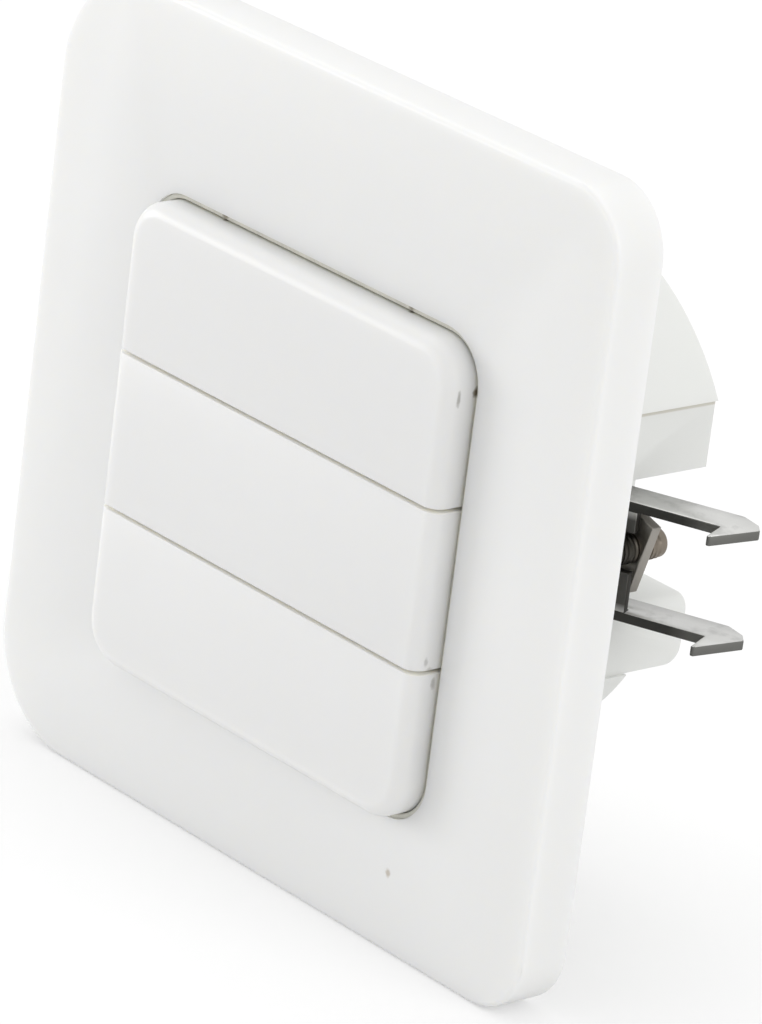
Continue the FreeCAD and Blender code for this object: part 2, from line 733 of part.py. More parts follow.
def make_claw(label, side):
    claw = new_body(label)
    web_half = CLAW_HALF - S.claw_sheet
    back = S.claw_width - S.claw_near

    def arm(sketch):
        shape = [(0, back), (S.claw_length - S.claw_nose * 2, back),
                 (S.claw_length - S.claw_nose / 2, back - S.claw_nose),
                 (S.claw_length, back - S.claw_nose * 2),
                 (S.barb_start + S.barb_tip, -S.barb_reach),
                 (S.barb_start, -S.barb_reach), (S.barb_start, -S.claw_near), (0, -S.claw_near)]
        polygon(sketch, [(x, size(y) * side) for x, y in shape])

    def eye(sketch):
        circle(sketch, 0, 0, S.claw_eye)

    def hole(sketch):
        circle(sketch, 0, 0, S.stub_radius + S.run_fit)

    def web(sketch):
        edges = (-S.claw_near * side, (S.claw_sheet - S.claw_near) * side)
        low, high = edges if side == 1 else (edges[1], edges[0])
        rectangle(sketch, -S.claw_web_start, S.claw_web, low, high)

    for level in (-1, 1):
        inside, outside = web_half * level, CLAW_HALF * level
        low, high = (inside, outside) if level == 1 else (outside, inside)
        top_pad(claw, low, high, arm)
        top_pad(claw, low, high, eye)
    top_pad(claw, -web_half - S.claw_sheet / 2, web_half + S.claw_sheet / 2, web)
    for level in (-1, 1):
        inside, outside = web_half * level, CLAW_HALF * level
        low, high = (inside, outside) if level == 1 else (outside, inside)
        top_cut(claw, low, high, hole)
    slot_half = S.claw_screw_radius + S.claw_slot_play

    def screw_slot(sketch):
        rectangle(sketch, -S.claw_slot_start, S.claw_web + S.claw_sheet,
                  S.claw_screw_lift - slot_half, S.claw_screw_lift + slot_half)

    front_cut(claw, -S.claw_sheet, S.claw_sheet, screw_slot)
    turn = S.claw_angle.value if side == 1 else 180 - S.claw_angle.value
    pivot = FreeCAD.Vector(SIDE_FLAT.value * side, S.claw_pivot_depth.value, 0)
    claw.Placement = FreeCAD.Placement(pivot, FreeCAD.Rotation(FreeCAD.Vector(0, 0, 1), turn))
    return claw


def make_nut(label, side):
    """Leaning strip behind the web of a claw, with the thread for its screw."""
    nut = new_body(label)
    wide = S.nut_width / 2

    def strip(sketch):
        rectangle(sketch, -wide, wide, -S.nut_below, S.nut_above)

    front_pad(nut, 0, S.nut_thick, strip)
    front_cut(nut, 0, S.nut_thick,
              lambda sketch: circle(sketch, 0, 0, S.claw_screw_radius + S.run_fit))
    place = FreeCAD.Vector(CLAW_SCREW_OFFSET.value * side, NUT_FRONT.value, S.claw_screw_lift.value)
    lean = FreeCAD.Rotation(FreeCAD.Vector(0, 1, 0), S.nut_lean.value * side)
    nut.Placement = FreeCAD.Placement(place, lean)
    return nut


def make_screw(label, side):
    screw = new_body(label)
    head_front = CARRIER_BACK - S.claw_head_height
    front_pad(screw, CARRIER_BACK, CLAW_SCREW_END,
              lambda sketch: circle(sketch, 0, 0, S.claw_screw_radius))
    round_edges(screw, S.claw_screw_tip, lambda edge: at_depth(edge, CLAW_SCREW_END.value))
    front_pad(screw, head_front, CARRIER_BACK,
              lambda sketch: circle(sketch, 0, 0, S.claw_head_radius))
    round_edges(screw, S.claw_head_edge, lambda edge: at_depth(edge, head_front.value))

    def drive_slot(sketch):
        reach = S.claw_head_radius + S.drive_half
        rectangle(sketch, -reach, reach, -S.drive_half, S.drive_half)

    front_cut(screw, head_front, head_front + S.drive_depth, drive_slot)
    place = FreeCAD.Vector(CLAW_SCREW_OFFSET.value * side, 0, S.claw_screw_lift.value)
    screw.Placement = FreeCAD.Placement(place, FreeCAD.Rotation())
    return screw


for place, side in SIDES.items():
    make_claw("claw_" + place, side)
    make_nut("claw_nut_" + place, side)
    make_screw("claw_screw_" + place, side)


# Plungers, return sleeves and contact domes, two of each under every key

def make_plunger(label, side, level):
    plunger = new_body(label)
    head_back = PLUNGER_FRONT + S.plunger_head
    tip = DOME_FRONT - S.contact_gap - S.press_travel
    front_pad(plunger, PLUNGER_FRONT, head_back,
              lambda sketch: circle(sketch, 0, 0, S.plunger_radius))
    front_pad(plunger, head_back, tip, lambda sketch: circle(sketch, 0, 0, S.stem_radius))
    place = FreeCAD.Vector(FOOT_OFFSET.value * side, 0, KEY_PITCH.value * level)
    plunger.Placement = FreeCAD.Placement(place, FreeCAD.Rotation())
    return plunger


def make_sleeve(label, side, level):
    """Thin rubber cone between plunger head and guide floor."""
    sleeve = new_body(label)
    start = PLUNGER_FRONT + S.plunger_head
    end = GUIDE_END - S.guide_floor
    narrow, wide = S.stem_radius + S.sleeve_play, S.plunger_radius - S.sleeve_inset
    sketch = new_sketch(sleeve, "XY_Plane", 0)
    polygon(sketch, [(narrow, start), (narrow + S.sleeve_wall, start),
                     (wide + S.sleeve_wall, end), (wide, end)])
    turned = sleeve.newObject("PartDesign::Revolution", label + "_turned")
    turned.Profile = (sketch, [""])
    turned.ReferenceAxis = (sketch, ["V_Axis"])
    turned.Angle = 360
    sketch.Visibility = False
    place = FreeCAD.Vector(FOOT_OFFSET.value * side, 0, KEY_PITCH.value * level)
    sleeve.Placement = FreeCAD.Placement(place, FreeCAD.Rotation())
    return sleeve


for row_name, level in ROWS.items():
    for side_name, side in SIDES.items():
        make_plunger(f"plunger_{row_name}_{side_name}", side, level)
        make_sleeve(f"return_sleeve_{row_name}_{side_name}", side, level)


# Circuit board with its parts

board = new_body("circuit_board")
front_pad(board, S.board_front, BOARD_BACK,
          lambda sketch: clipped_disc(sketch, S.body_radius - S.body_wall - S.board_play,
                                      SIDE_FLAT - S.body_wall - S.board_play))
front_cut(board, S.board_front, BOARD_BACK,
          lambda sketch: screw_places(sketch, S.boss_radius + S.board_play))

domes = new_body("contact_domes")
front_pad(domes, DOME_FRONT, S.board_front,
          lambda sketch: [circle(sketch, FOOT_OFFSET * side, KEY_PITCH * level, S.dome_radius)
                          for side in (-1, 1) for level in ROWS.values()])

chip = new_body("coding_chip")
front_pad(chip, BOARD_BACK, BOARD_BACK + S.chip_thick,
          lambda sketch: rectangle(sketch, -S.chip_width / 2, S.chip_width / 2,
                                   S.chip_lift - S.chip_height / 2, S.chip_lift + S.chip_height / 2))

can = new_body("resonator_can")
front_pad(can, BOARD_BACK, BOARD_BACK + S.can_height,
          lambda sketch: circle(sketch, 0, -S.can_drop, S.can_radius))

caps = new_body("capacitors")
front_pad(caps, S.board_front - S.cap_height, S.board_front,
          lambda sketch: [circle(sketch, S.cap_offset * side, S.cap_lift, S.cap_radius)
                          for side in (-1, 1)])

aerial = new_body("wire_aerial")
spine = new_sketch(aerial, "XY_Plane", -S.aerial_drop)
aerial_top = S.board_front - S.aerial_rise
ends = [(-S.aerial_half, S.board_front), (-S.aerial_half, aerial_top),
        (S.aerial_half, aerial_top), (S.aerial_half, S.board_front)]
corner_points = [FreeCAD.Vector(x.value, y.value, 0) for x, y in ends]
for i in range(3):
    spine.addGeometry(Part.LineSegment(corner_points[i], corner_points[i + 1]), False)
for i in range(2):
    spine.addConstraint(Sketcher.Constraint("Coincident", i, 2, i + 1, 1))
for i, (x, y) in enumerate(ends[:3]):
    fix_point(spine, i, 1, x, y)
fix_point(spine, 2, 2, *ends[3])
wire = new_sketch(aerial, "XZ_Plane", -S.board_front)
circle(wire, -S.aerial_half, -S.aerial_drop, S.aerial_wire)
doc.recompute()
bent = aerial.newObject("PartDesign::AdditivePipe", "aerial_bent")
bent.Profile = (wire, [""])
bent.Spine = (spine, ["Edge1", "Edge2", "Edge3"])
bent.Transition = "Round corner"
spine.Visibility = False
wire.Visibility = False


# Battery cell and its two contact strips

cell = new_body("battery_cell")
cell_top = S.cell_length - S.cell_low
top_pad(cell, -S.cell_low, cell_top, lambda sketch: circle(sketch, 0, CELL_DEPTH, S.cell_radius))
top_pad(cell, cell_top, cell_top + S.pole_height,
        lambda sketch: circle(sketch, 0, CELL_DEPTH, S.pole_radius))

for label, level, height in (("contact_plus", 1, cell_top + S.pole_height + S.contact_gap),
                             ("contact_minus", -1, -S.cell_low - S.contact_gap)):
    strip = new_body(label)
    beyond = height + S.strip_thick * level
    low, high = (height, beyond) if level == 1 else (beyond, height)
    reach = S.strip_width / 2
    top_pad(strip, low, high, lambda sketch: rectangle(sketch, -reach, reach, BOARD_BACK, STRIP_REACH))
    foot = height - S.strip_foot * level
    low, high = (foot, height) if level == 1 else (height, foot)
    top_pad(strip, low, high,
            lambda sketch: rectangle(sketch, -reach, reach, BOARD_BACK, BOARD_BACK + S.strip_thick))


# Four screws that hold the carrier, the ring and the housing together

screws = new_body("carrier_screws")
front_pad(screws, CARRIER_FRONT, CARRIER_FRONT + S.boss_screw_length,
          lambda sketch: screw_places(sketch, S.boss_screw))
front_pad(screws, CARRIER_FRONT - S.boss_head_height, CARRIER_FRONT,
          lambda sketch: screw_places(sketch, S.boss_head))


# Test and write

doc.recompute()
for thing in doc.Objects:
    if "Invalid" in thing.State or "Error" in thing.State:
        raise RuntimeError(f"{thing.Label} ({thing.Name}) did not build: {thing.State}")
for body in doc.findObjects("PartDesign::Body"):
    if body.Shape.isNull() or not body.Shape.isValid():
        raise RuntimeError(f"{body.Label} has no valid shape")
    body.Shape.exportStep(f"parts/{body.Label}.step")
    box = body.Shape.BoundBox
    print(f"{body.Label}: {len(body.Shape.Solids)} solid(s), {body.Shape.Volume:.1f} mm3, "
          f"x {box.XMin:.2f}..{box.XMax:.2f}, y {box.YMin:.2f}..{box.YMax:.2f}, "
          f"z {box.ZMin:.2f}..{box.ZMax:.2f}")
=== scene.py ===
# %% [markdown]
# This is a flush wall switch with three rocking keys, seen from the right and a little
# above. Its solids come in first, as a frame that is never moved: they carry the sizes
# and the joints. Each visible piece is then made from its solid, with the small
# roundings and the finish of the real one, and it moves with the same body.

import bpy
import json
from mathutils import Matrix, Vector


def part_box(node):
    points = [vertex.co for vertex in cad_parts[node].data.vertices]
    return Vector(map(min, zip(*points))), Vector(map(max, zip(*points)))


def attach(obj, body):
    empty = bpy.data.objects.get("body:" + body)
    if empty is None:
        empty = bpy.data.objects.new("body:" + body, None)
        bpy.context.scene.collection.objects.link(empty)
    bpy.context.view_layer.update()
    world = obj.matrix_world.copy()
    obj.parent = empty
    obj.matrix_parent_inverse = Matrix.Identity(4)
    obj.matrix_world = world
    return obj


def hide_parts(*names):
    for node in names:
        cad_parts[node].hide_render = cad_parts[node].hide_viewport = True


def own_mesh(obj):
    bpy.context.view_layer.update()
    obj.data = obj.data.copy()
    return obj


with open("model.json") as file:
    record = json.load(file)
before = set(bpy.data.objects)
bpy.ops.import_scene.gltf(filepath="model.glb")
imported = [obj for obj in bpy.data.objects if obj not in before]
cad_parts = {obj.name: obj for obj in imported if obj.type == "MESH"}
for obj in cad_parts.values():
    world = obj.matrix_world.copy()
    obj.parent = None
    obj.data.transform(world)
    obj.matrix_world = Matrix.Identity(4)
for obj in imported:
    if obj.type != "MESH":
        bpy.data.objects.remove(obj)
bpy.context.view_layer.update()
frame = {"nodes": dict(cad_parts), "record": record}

import json
import math

import bmesh
import bpy
from mathutils import Matrix, Vector

MM = 0.001
BEHAVIOUR = frame["record"]["behaviour"]
BODY_OF = {name: body for body, names in BEHAVIOUR["bodies"].items() for name in names}
SLOT_OF = {part["node"]: part["material_slot"] for part in frame["record"]["subparts"]}

# %% [markdown]
# The camera stands where the photographer stood: to the right of the switch and above
# it, with a long lens, leaning a few degrees to the side. The lens is given by the
# distance in pixels at which the image would lie, measured on the photograph. The
# middle of that image isn't quite the middle of the picture, so the lens is shifted.

# %% Camera
IMAGE_WIDTH, IMAGE_HEIGHT = 762, 1024
FOCAL_PIXELS = 6610.0
CENTRE_PIXEL = (380.3, 508.2)
SENSOR_HEIGHT = 36.0  # in millimetres, as Blender counts it
EYE = Vector((0.43589, -0.39255, 0.21517))  # in metres
LOOK_AZIMUTH, LOOK_DOWN, ROLL = 47.515, 20.200, 7.207  # in degrees
NEAREST, FARTHEST = 0.05, 20.0  # in metres


def add(name, data):
    """A new object in the scene."""
    made = bpy.data.objects.new(name, data)
    bpy.context.scene.collection.objects.link(made)
    return made


def make_camera():
    """The camera of the photograph."""
    data = bpy.data.cameras.new("camera")
    data.sensor_fit = "VERTICAL"
    data.sensor_height = SENSOR_HEIGHT
    data.lens = FOCAL_PIXELS / IMAGE_HEIGHT * data.sensor_height
    data.shift_x = (IMAGE_WIDTH / 2 - CENTRE_PIXEL[0]) / IMAGE_HEIGHT
    data.shift_y = (CENTRE_PIXEL[1] - IMAGE_HEIGHT / 2) / IMAGE_HEIGHT
    data.clip_start = NEAREST
    data.clip_end = FARTHEST
    made = add("camera", data)
    turn = (Matrix.Rotation(math.radians(LOOK_AZIMUTH), 4, "Z")
            @ Matrix.Rotation(math.radians(90 - LOOK_DOWN), 4, "X")
            @ Matrix.Rotation(math.radians(ROLL), 4, "Z"))
    made.matrix_world = Matrix.Translation(EYE) @ turn
    bpy.context.scene.camera = made
    return made


camera = make_camera()
print("lens:", round(camera.data.lens, 1), "mm")

# %% [markdown]
# Node trees are long to write, so a few helpers keep them short. One makes a node and
# fills its inputs, with plain values or with sockets of other nodes. One makes a group
# with named sockets, which a shader or Geometry Nodes can use like a single node.

# %% Helpers for node trees
FLOAT, VECTOR = "NodeSocketFloat", "NodeSocketVector"
COLOUR, MATERIAL = "NodeSocketColor", "NodeSocketMaterial"


def node(tree, kind, inputs=None, **settings):
    """A new node; inputs are sockets to link or plain values."""
    made = tree.nodes.new(kind)
    for name, value in settings.items():
        setattr(made, name, value)
    for name, value in (inputs or {}).items():
        if isinstance(value, bpy.types.NodeSocket):
            tree.links.new(value, made.inputs[name])
        else:
            made.inputs[name].default_value = value
    return made


def maths(tree, operation, *values):
    """The result of one piece of arithmetic on sockets or numbers."""
    made = node(tree, "ShaderNodeMath", dict(enumerate(values)), operation=operation)
    return made.outputs["Value"]


def ramp(tree, value, start, end):
    """0 below start, 1 above end, and a straight rise between."""
    made = node(tree, "ShaderNodeMapRange", {"Value": value, "From Min": start, "From Max": end})
    return made.outputs["Result"]


def object_place(tree):
    """The place of a point on its own piece."""
    return node(tree, "ShaderNodeTexCoord").outputs["Object"]


def new_group(name, kind, sockets_in, sockets_out):
    """A node group with named sockets, and its inputs as sockets to link."""
    group = bpy.data.node_groups.new(name, kind)
    for label, socket_kind, value in sockets_in:
        socket = group.interface.new_socket(label, in_out="INPUT", socket_type=socket_kind)
        if value is not None:
            socket.default_value = value
    for label, socket_kind in sockets_out:
        group.interface.new_socket(label, in_out="OUTPUT", socket_type=socket_kind)
    return group, group.nodes.new("NodeGroupInput").outputs


def put_out(group, results):
    """Ends a group: each result goes to the output of its name."""
    node(group, "NodeGroupOutput", results)
    return group


print("socket kinds:", FLOAT, VECTOR, COLOUR, MATERIAL)

# %% [markdown]
# The photograph was taken on a white sweep under large soft lamps. The world gives an
# even light from all sides. One wide lamp stands above and a little behind the front,
# so that it brightens the upper walls but throws no shadow down the front. One is low
# at the left and brightens the left edges, a faint one is in front, and one lights the
# right side. A wide disk was chosen for each, because a small lamp would cast a hard
# shadow, which the photograph hasn't.

# %% Light
WHITE = (1.0, 1.0, 1.0, 1.0)
WORLD_STRENGTH = 0.74
LAMPS = [  # name, place in metres, size in metres, power in watts
    ("lamp_above", (-0.30, 0.15, 1.00), 1.2, 3.0),
    ("lamp_left", (-0.70, -0.42, 0.10), 0.4, 1.9),
    ("lamp_front", (-0.20, -1.20, 0.15), 1.2, 1.1),
    ("lamp_right", (0.95, 0.15, 0.45), 0.7, 2.6),
]


def seen_rays(tree):
    """1 for rays that end on the camera's picture, directly or through metal and glass."""
    path = node(tree, "ShaderNodeLightPath").outputs
    seen = path["Is Camera Ray"]
    for name in ("Is Glossy Ray", "Is Transmission Ray"):
        seen = maths(tree, "MAXIMUM", seen, path[name])
    return seen


def make_world():
    """Plain white where it is seen, and weaker where it gives light."""
    world = bpy.data.worlds.new("studio")
    bpy.context.scene.world = world
    world.use_nodes = True
    tree = world.node_tree
    tree.nodes.clear()
    light = node(tree, "ShaderNodeBackground", {"Color": WHITE, "Strength": WORLD_STRENGTH})
    seen = node(tree, "ShaderNodeBackground", {"Color": WHITE, "Strength": 1.0})
    mix = node(tree, "ShaderNodeMixShader", {"Fac": seen_rays(tree), 1: light.outputs["Background"],
                                             2: seen.outputs["Background"]})
    node(tree, "ShaderNodeOutputWorld", {"Surface": mix.outputs["Shader"]})


def make_lamps():
    """Disks of light that look at the switch."""
    for name, place, size, power in LAMPS:
        data = bpy.data.lights.new(name, "AREA")
        data.shape = "DISK"
        data.size = size
        data.energy = power
        turn = Vector(place).to_track_quat("Z", "Y").to_matrix().to_4x4()
        add(name, data).matrix_world = Matrix.Translation(place) @ turn


make_world()
make_lamps()
bpy.context.scene.view_settings.view_transform = "Standard"
print("lamps:", len(LAMPS))

# %% [markdown]
# The switch stands on the sweep with its lower edge. What the camera sees of the sweep
# is white, and so is what metal reflects of it: only the shadow of the switch is left
# on it. A part of that white is light of its own, so the shadow stays as faint as in
# the photograph. To all other light it is pale grey, like a real sheet of paper.

# %% Sweep
FLOOR_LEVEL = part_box("cover_frame")[0].z
FLOOR_HALF = 3.0
FLOOR_GREY = 0.80
FLOOR_OWN_WHITE = 0.42


def make_sweep():
    """The material of the floor."""
    material = bpy.data.materials.new("sweep")
    material.use_nodes = True
    tree = material.node_tree
    tree.nodes.clear()
    grey = node(tree, "ShaderNodeBsdfDiffuse",
                {"Color": (FLOOR_GREY, FLOOR_GREY, FLOOR_GREY, 1.0)})
    shaded = node(tree, "ShaderNodeBsdfDiffuse", {"Color": WHITE})
    glow = node(tree, "ShaderNodeEmission")
    bright = node(tree, "ShaderNodeMixShader", {"Fac": FLOOR_OWN_WHITE, 1: shaded.outputs["BSDF"],
                                                2: glow.outputs["Emission"]})
    mix = node(tree, "ShaderNodeMixShader", {"Fac": seen_rays(tree), 1: grey.outputs["BSDF"],
                                             2: bright.outputs["Shader"]})
    node(tree, "ShaderNodeOutputMaterial", {"Surface": mix.outputs["Shader"]})
    return material


def make_floor():
    """One flat square under the switch."""
    mesh = bpy.data.meshes.new("floor")
    corners = [(-FLOOR_HALF, -FLOOR_HALF), (FLOOR_HALF, -FLOOR_HALF),
               (FLOOR_HALF, FLOOR_HALF), (-FLOOR_HALF, FLOOR_HALF)]
    mesh.from_pydata([(x, y, FLOOR_LEVEL) for x, y in corners], [], [(0, 1, 2, 3)])
    mesh.materials.append(make_sweep())
    floor = add("floor", mesh)


make_floor()
print("floor at", round(FLOOR_LEVEL / MM, 1), "mm")

# %% [markdown]
# Moulded plastic and rolled sheet are never perfectly even. This group gives a slow
# change of shade, a little of the same in the roughness, and a fine grain in the
# normal. It is built once, and each finish sets its own amounts.

# %% Uneven surface
GRAIN_HEIGHT = 0.02 * MM


def make_surface_group():
    """A colour, a roughness and a normal that change a little over the surface."""
    group, given = new_group(
        "uneven_surface", "ShaderNodeTree",
        [("Colour", COLOUR, (0.8, 0.8, 0.8, 1.0)), ("Shade", FLOAT, 0.03),
         ("Patch Size", FLOAT, 45.0), ("Roughness", FLOAT, 0.4), ("Spread", FLOAT, 0.05),
         ("Grain Size", FLOAT, 4000.0), ("Grain Depth", FLOAT, 0.1)],
        [("Colour", COLOUR), ("Roughness", FLOAT), ("Normal", VECTOR)])
    place = object_place(group)
    slow = node(group, "ShaderNodeTexNoise",
                {"Vector": place, "Scale": given["Patch Size"], "Detail": 4.0})
    fine = node(group, "ShaderNodeTexNoise",
                {"Vector": place, "Scale": given["Grain Size"], "Detail": 2.0})
    centred = maths(group, "SUBTRACT", slow.outputs["Fac"], 0.5)
    lightness = maths(group, "MULTIPLY_ADD", centred, given["Shade"], 1.0)
    tint = node(group, "ShaderNodeVectorMath", {0: given["Colour"], "Scale": lightness},
                operation="SCALE")
    rough = maths(group, "MULTIPLY_ADD", centred, given["Spread"], given["Roughness"])
    bump = node(group, "ShaderNodeBump", {"Strength": given["Grain Depth"],
                                          "Distance": GRAIN_HEIGHT, "Height": fine.outputs["Fac"]})
    return put_out(group, {"Colour": tint.outputs["Vector"], "Roughness": rough,
                           "Normal": bump.outputs["Normal"]})


SURFACE = make_surface_group()
print("group:", SURFACE.name)

# %% [markdown]
# Years on a wall leave a few marks, such as dark specks of dirt and rubbed spots. One
# group makes a blot at a place, with three radii, so that it can be stretched along one
# direction. A noise is added to the distance from its middle, which makes it ragged.

# %% Specks
BLOT_NOISE = 1800.0  # waves in a metre
BLOT_FULL, BLOT_GONE = 0.9, 1.6


def make_speck_group():
    """A mask that is 1 inside a small ragged blot and 0 elsewhere."""
    group, given = new_group("speck", "ShaderNodeTree",
                             [("Place", VECTOR, None), ("Radius", VECTOR, None)],
                             [("Mask", FLOAT)])
    place = object_place(group)
    ragged = node(group, "ShaderNodeTexNoise", {"Vector": place, "Scale": BLOT_NOISE})
    apart = node(group, "ShaderNodeVectorMath", {0: place, 1: given["Place"]},
                 operation="SUBTRACT")
    share = node(group, "ShaderNodeVectorMath", {0: apart.outputs["Vector"], 1: given["Radius"]},
                 operation="DIVIDE")
    length = node(group, "ShaderNodeVectorMath", {0: share.outputs["Vector"]}, operation="LENGTH")
    edge = maths(group, "ADD", length.outputs["Value"], ragged.outputs["Fac"])
    outside = ramp(group, edge, BLOT_FULL, BLOT_GONE)
    return put_out(group, {"Mask": maths(group, "SUBTRACT", 1.0, outside)})


SPECK = make_speck_group()
print("group:", SPECK.name)

# %% [markdown]
# Dust lies on the walls of the gap round the keys and of the slits between them, and these
# walls are also painted lighter than the plastic: painted light, which lifts the shade of the
# narrow gap. A second group tells by the place alone where those walls are: a little behind the
# front, and between two distances from the middle. It needs no painting, so the dust and the
# painted light stay in the gap if the keys change their size.

# %% Dust and painted light on the walls of the gap
WALL_MASK_FADE = 0.35 * MM


def make_gap_group():
    """A mask of the walls of the gap round the keys and of the slits between them."""
    group, given = new_group(
        "dust_and_light_in_gap", "ShaderNodeTree",
        [("Gap Front", FLOAT, 0.0), ("Gap Inner", FLOAT, 0.0), ("Gap Outer", FLOAT, 0.0),
         ("Slit Front", FLOAT, 0.0), ("Slit Level", FLOAT, 0.0), ("Slit Half", FLOAT, 0.0)],
        [("Gap", FLOAT), ("Slit", FLOAT)])
    apart = node(group, "ShaderNodeSeparateXYZ", {0: object_place(group)}).outputs

    def behind(front):
        return ramp(group, apart["Y"], front, maths(group, "ADD", front, WALL_MASK_FADE))

    upwards = maths(group, "ABSOLUTE", apart["Z"])
    outwards = maths(group, "MAXIMUM", maths(group, "ABSOLUTE", apart["X"]), upwards)
    gap = maths(group, "MULTIPLY", behind(given["Gap Front"]),
                maths(group, "GREATER_THAN", outwards, given["Gap Inner"]))
    gap = maths(group, "MULTIPLY", gap, maths(group, "LESS_THAN", outwards, given["Gap Outer"]))
    beside = maths(group, "ABSOLUTE", maths(group, "SUBTRACT", upwards, given["Slit Level"]))
    slit = maths(group, "MULTIPLY", maths(group, "LESS_THAN", beside, given["Slit Half"]),
                 behind(given["Slit Front"]))
    return put_out(group, {"Gap": gap, "Slit": slit})


GAP_DUST_AND_LIGHT = make_gap_group()
print("group:", GAP_DUST_AND_LIGHT.name)

# %% [markdown]
# The gap is the narrow space between the keys and the frame, and the slits lie between
# the keys. Both are measured on the solids, so that the dust and the painted light follow
# them. Only the width of the gap is written here, because the box of a piece doesn't tell
# it. Both start a little behind the front, where a cloth no longer reaches the dust.

# %% Where the gap and the slits are
KEY_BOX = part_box("key_middle")
TOP_KEY_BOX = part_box("key_top")
FRAME_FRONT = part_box("cover_frame")[0].y
KEYS_HALF = KEY_BOX[1].x
GAP_WIDTH = 0.6 * MM
GAP_MASK_INSET, SLIT_MASK_INSET = 0.02 * MM, 0.05 * MM
SLIT_MARGIN = 0.06 * MM

GAP_FRONT = FRAME_FRONT + GAP_MASK_INSET
# Beige of dust, but lighter than the plastic: the lightness is painted light in the shaded gap.
GAP_DUST_AND_PAINTED_LIGHT = (0.89, 0.88, 0.81)
SLIT_FRONT = KEY_BOX[0].y + SLIT_MASK_INSET
SLIT_LEVEL = (KEY_BOX[1].z + TOP_KEY_BOX[0].z) / 2
SLIT_HALF = (TOP_KEY_BOX[0].z - KEY_BOX[1].z) / 2 + SLIT_MARGIN
# Beige of dust in the slits, lighter than the plastic: the lightness is painted light.
SLIT_DUST_AND_PAINTED_LIGHT = (0.90, 0.885, 0.83)
print("slits at", round(SLIT_LEVEL / MM, 2), "mm above and below the middle")

# %% [markdown]
# Each finish is one material: the shared groups feed colour, roughness and normal, and
# what is the same all over, such as metal or not, is set on the shader itself. Marks
# and dust are laid over the base colour one after the other. White plastic lets light
# in a little way, so it scatters under the surface, which softens its shadows. The
# three distances are nearly equal, because the shadows on the real one are neutral.

# %% Finish of a surface
SCATTER_RADIUS = (1.0, 0.97, 0.88)
SCATTER_DEPTH = 1.4 * MM


class Finish:
    """A material whose base colour can take more layers."""

    def __init__(self, name, colour, roughness, shade=0.03, patch=45.0, spread=0.05,
                 grain_size=4000.0, grain_depth=0.1, metallic=0.0, coat=0.0, scatter=0.0):
        self.material = bpy.data.materials.new(name)
        self.material.use_nodes = True
        self.tree = self.material.node_tree
        self.shader = self.tree.nodes["Principled BSDF"]
        for label, value in (("Metallic", metallic), ("Coat Weight", coat),
                             ("Subsurface Weight", scatter), ("Subsurface Radius", SCATTER_RADIUS),
                             ("Subsurface Scale", SCATTER_DEPTH)):
            self.shader.inputs[label].default_value = value
        self.surface = self.group(SURFACE, {
            "Colour": (*colour, 1.0), "Shade": shade, "Patch Size": patch,
            "Roughness": roughness, "Spread": spread, "Grain Size": grain_size,
            "Grain Depth": grain_depth})
        self.colour = self.surface["Colour"]
        for label, target in (("Colour", "Base Color"), ("Roughness", "Roughness"),
                              ("Normal", "Normal")):
            self.tree.links.new(self.surface[label], self.shader.inputs[target])

    def group(self, tree, values):
        """The outputs of a group placed in this material with its own values."""
        return node(self.tree, "ShaderNodeGroup", values, node_tree=tree).outputs

    def lay(self, mask, colour, share=1.0):
        """Another colour where the mask is 1."""
        if share < 1.0:
            mask = maths(self.tree, "MULTIPLY", mask, share)
        mix = node(self.tree, "ShaderNodeMix",
                   {"Factor": mask, "A": self.colour, "B": (*colour, 1.0)}, data_type="RGBA")
        self.colour = mix.outputs["Result"]
        self.tree.links.new(self.colour, self.shader.inputs["Base Color"])

    def speck(self, place, radius, colour, share=1.0):
        """A blot; place and radius in millimetres, the radius one number or three."""
        radius = radius if isinstance(radius, tuple) else (radius,) * 3
        mask = self.group(SPECK, {"Place": [c * MM for c in place],
                                  "Radius": [c * MM for c in radius]})
        self.lay(mask["Mask"], colour, share)

    def dust_and_light_in_gap(self, inner, outer, slits=False):
        """Dust and painted light between two distances from the middle and, if asked for, in the
        slits.
        """
        mask = self.group(GAP_DUST_AND_LIGHT, {
            "Gap Front": GAP_FRONT, "Gap Inner": inner, "Gap Outer": outer,
            "Slit Front": SLIT_FRONT, "Slit Level": SLIT_LEVEL, "Slit Half": SLIT_HALF})
        self.lay(mask["Gap"], GAP_DUST_AND_PAINTED_LIGHT)
        if slits:
            self.lay(mask["Slit"], SLIT_DUST_AND_PAINTED_LIGHT)


print("scatter depth:", round(SCATTER_DEPTH / MM, 1), "mm")

# %% [markdown]
# The plastic of the frame, the keys and the insert is the same warm white, a little
# greener and darker on the insert; part of that darkness is painted shade, which stands for
# the shade that the frame throws on it. The marks lie where the photograph shows them,
# their places and radii in millimetres. Three specks lie across the gap, so each is on a
# key and on the strip of dust beside it. Dust and painted light cover the walls that look
# into the gap: on each piece those are between two distances from the middle.

# %% Plastics
DIRT = (0.21, 0.18, 0.13)
RUBBED = (0.38, 0.37, 0.35)
KEY_WALL = (KEYS_HALF - 0.3 * MM, KEYS_HALF + 0.1 * MM)
OPENING_WALL = (KEYS_HALF + 0.3 * MM, KEYS_HALF + GAP_WIDTH + 0.2 * MM)
WHOLE_CARRIER = (0.0, 30.0 * MM)

frame_plastic = Finish("frame_plastic", (0.84, 0.842, 0.835), 0.36, shade=0.025, scatter=1.0)
# Dust and painted light on the wall of the frame's opening.
frame_plastic.dust_and_light_in_gap(*OPENING_WALL)
frame_plastic.speck((20.65, -5.5, -29.59), (0.36, 0.4, 0.5), (0.42, 0.34, 0.24), share=0.6)

